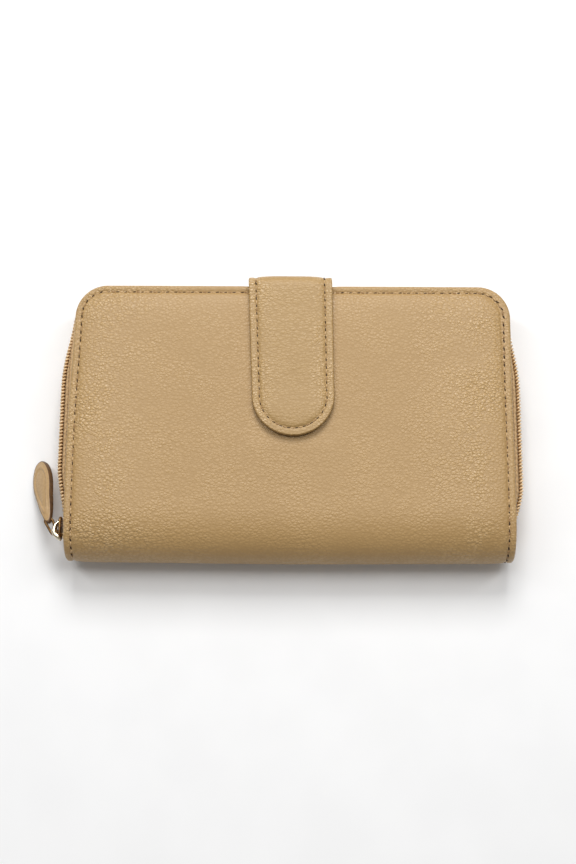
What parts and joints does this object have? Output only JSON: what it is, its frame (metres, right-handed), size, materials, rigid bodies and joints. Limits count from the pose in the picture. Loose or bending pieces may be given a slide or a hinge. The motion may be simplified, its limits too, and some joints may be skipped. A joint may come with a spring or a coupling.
{
  "type": "zip around wallet",
  "caption": "Rectangular leather zip-around wallet, closed, with a round-tipped strap over the front, a side zip with an oval leather pull, card pockets and a zipped coin leaf.",
  "frame": {"origin": "middle of the back cover's outer face, which the wallet lies on", "axes": "+X along the spine, +Y to the opening edge with the strap, +Z out of the front cover"},
  "size_m": [0.2104, 0.125, 0.029],
  "materials": {
    "cover_leather": "pebbled, semi-matt",
    "strap_leather": "pebbled, semi-matt",
    "strap_lining": "smooth, matt",
    "pull_leather": "smooth, semi-matt",
    "pocket_leather": "fine grain, matt",
    "lining_fabric": "woven, matt",
    "filler": "felted, matt",
    "stiffener": "matt",
    "zip_tape": "woven, matt",
    "zip_teeth": "satin",
    "gold_metal": "polished",
    "snap_metal": "satin",
    "clear_window": "clear"
  },
  "bodies": {
    "back_cover": {"back_leather": "cover_leather", "back_board": "stiffener", "back_lining": "lining_fabric", "back_slip_panel": "pocket_leather", "back_card_strip_1": "pocket_leather", "back_card_strip_2": "pocket_leather", "back_card_strip_3": "pocket_leather", "id_frame": "pocket_leather", "id_window": "clear_window", "zip_tape_back": "zip_tape", "zip_coil_back": "zip_teeth", "zip_end_tab_back_left": "pocket_leather", "zip_end_tab_back_right": "pocket_leather", "strap_root": "strap_leather", "leaf_wall_back": "pocket_leather", "leaf_wall_front": "pocket_leather", "leaf_gusset_left": "lining_fabric", "leaf_gusset_right": "lining_fabric", "leaf_bottom_strip": "lining_fabric", "leaf_base_strip": "lining_fabric", "coin_tape_back": "zip_tape", "coin_tape_front": "zip_tape", "coin_coil_back": "zip_teeth", "coin_coil_front": "zip_teeth"},
    "spine": {"spine_leather": "cover_leather", "spine_lining": "lining_fabric"},
    "front_cover": {"front_leather": "cover_leather", "front_board": "stiffener", "front_lining": "lining_fabric", "front_slip_panel": "pocket_leather", "front_card_strip_1": "pocket_leather", "front_card_strip_2": "pocket_leather", "front_card_strip_3": "pocket_leather", "front_card_strip_4": "pocket_leather", "zip_tape_front": "zip_tape", "zip_coil_front": "zip_teeth", "zip_end_tab_front_left": "pocket_leather", "zip_end_tab_front_right": "pocket_leather", "snap_stud": "snap_metal", "snap_washer": "snap_metal"},
    "coin_slider": {"coin_slider": "gold_metal", "coin_slider_pin": "gold_metal"},
    "coin_pull": {"coin_pull": "gold_metal"},
    "zip_slider": {"zip_slider": "gold_metal", "zip_slider_pin": "gold_metal"},
    "pull_ring": {"pull_ring": "gold_metal"},
    "leather_pull": {"pull_face": "pull_leather", "pull_back": "pull_leather", "pull_filler": "filler"},
    "strap_bridge": {"strap_bridge_outer": "strap_leather", "strap_bridge_lining": "strap_lining"},
    "strap_tab": {"strap_tab_outer": "strap_leather", "strap_tab_filler": "filler", "strap_tab_lining": "strap_lining", "snap_socket": "snap_metal"}
  },
  "joints": [
    {"name": "spine_hinge", "type": "hinge", "parent": "back_cover", "child": "spine", "pos_m": [0, -0.06, 0], "axis": [1, 0, 0], "range_deg": [0, 90]},
    {"name": "front_hinge", "type": "hinge", "parent": "spine", "child": "front_cover", "pos_m": [0, -0.06, 0.026], "axis": [1, 0, 0], "range_deg": [0, 90]},
    {"name": "coin_slide", "type": "slide", "parent": "back_cover", "child": "coin_slider", "axis": [1, 0, 0], "range_m": [0, 0.144]},
    {"name": "coin_pull_hinge", "type": "hinge", "parent": "coin_slider", "child": "coin_pull", "pos_m": [-0.072, 0.0463, 0.013], "axis": [0, 0, 1], "range_deg": [0, 180]},
    {"name": "zip_slide", "type": "slide", "parent": "back_cover", "child": "zip_slider", "axis": [0, 1, 0], "range_m": [0, 0.08]},
    {"name": "ring_hinge", "type": "hinge", "parent": "zip_slider", "child": "pull_ring", "pos_m": [-0.1023, -0.0465, 0.013], "axis": [0, 0, 1], "range_deg": [0, 150]},
    {"name": "pull_hinge", "type": "hinge", "parent": "pull_ring", "child": "leather_pull", "pos_m": [-0.1034, -0.04132, 0.013], "axis": [0.9781, 0.2079, 0], "range_deg": [0, 70]},
    {"name": "strap_edge_hinge", "type": "hinge", "parent": "back_cover", "child": "strap_bridge", "pos_m": [-0.0009, 0.065, 0], "axis": [-1, 0, 0], "range_deg": [0, 90]},
    {"name": "strap_top_hinge", "type": "hinge", "parent": "strap_bridge", "child": "strap_tab", "pos_m": [-0.0009, 0.065, 0.02895], "axis": [-1, 0, 0], "range_deg": [0, 90]}
  ],
  "couplings": [
    {"joint": "front_hinge", "follows": "spine_hinge", "ratio": 1},
    {"joint": "strap_top_hinge", "follows": "strap_edge_hinge", "ratio": 1}
  ]
}
